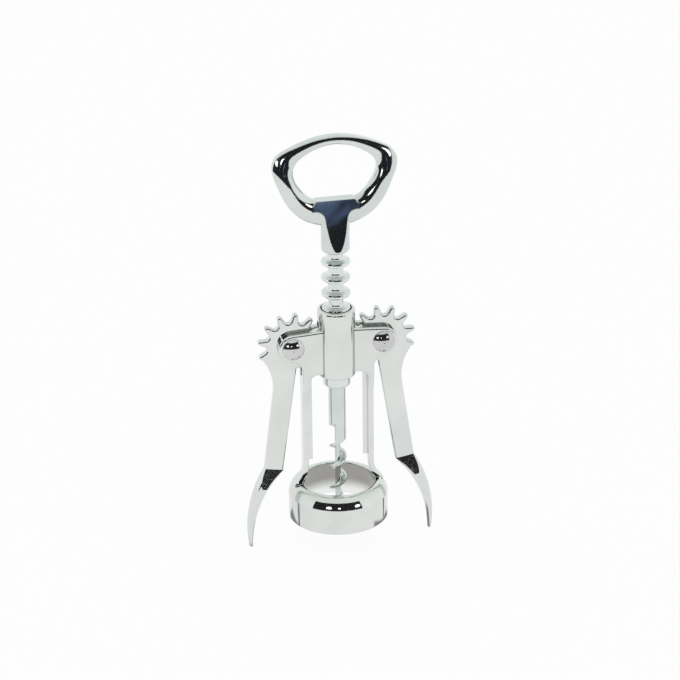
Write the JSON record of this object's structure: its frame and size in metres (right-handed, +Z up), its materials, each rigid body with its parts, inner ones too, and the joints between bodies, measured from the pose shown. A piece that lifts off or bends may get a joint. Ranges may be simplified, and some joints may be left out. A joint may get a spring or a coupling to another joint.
{
  "type": "wing corkscrew",
  "caption": "Wing corkscrew: a bell seats on the bottle, the turned handle drives the worm, and two toothed levers lift the ringed stem; the handle's ring is a cap lifter.",
  "frame": {"origin": "centre of the bell's open bottom, the plane that rests round the bottle's mouth", "axes": "+Z up along the stem towards the handle, the two levers swing in the XZ plane, -Y is the front with the domed rivet heads"},
  "size_m": [0.0745, 0.039, 0.1699],
  "materials": {
    "cast_chrome": "bright chrome plate on a zinc casting",
    "plate_chrome": "bright chrome plate on stamped steel",
    "rivet_steel": "polished nickel plate on a steel rivet",
    "worm_steel": "bright plated steel, a little duller than the castings"
  },
  "bodies": {
    "frame": {"frame": "cast_chrome", "left_pivot_rivet": "rivet_steel", "right_pivot_rivet": "rivet_steel"},
    "left_lever": {"left_lever": "plate_chrome"},
    "right_lever": {"right_lever": "plate_chrome"},
    "stem": {"ringed_stem": "cast_chrome"},
    "handle": {"handle": "cast_chrome", "worm": "worm_steel"}
  },
  "joints": [
    {"name": "stem_slide", "type": "slide", "parent": "frame", "child": "stem", "axis": [0, 0, -1], "range_m": [-0.0009, 0.0315]},
    {"name": "left_lever_swing", "type": "hinge", "parent": "frame", "child": "left_lever", "pos_m": [-0.0177, 0, 0.07425], "axis": [0, 1, 0], "range_deg": [-4.1, 141.2]},
    {"name": "right_lever_swing", "type": "hinge", "parent": "frame", "child": "right_lever", "pos_m": [0.0177, 0, 0.07425], "axis": [0, -1, 0], "range_deg": [-4.1, 141.2]},
    {"name": "handle_turn", "type": "hinge", "parent": "stem", "child": "handle", "pos_m": [0, 0, 0.11], "axis": [0, 0, 1], "continuous": true}
  ],
  "couplings": [
    {"joint": "left_lever_swing", "follows": "stem_slide", "rad_per_m": 78.081},
    {"joint": "right_lever_swing", "follows": "stem_slide", "rad_per_m": 78.081}
  ]
}
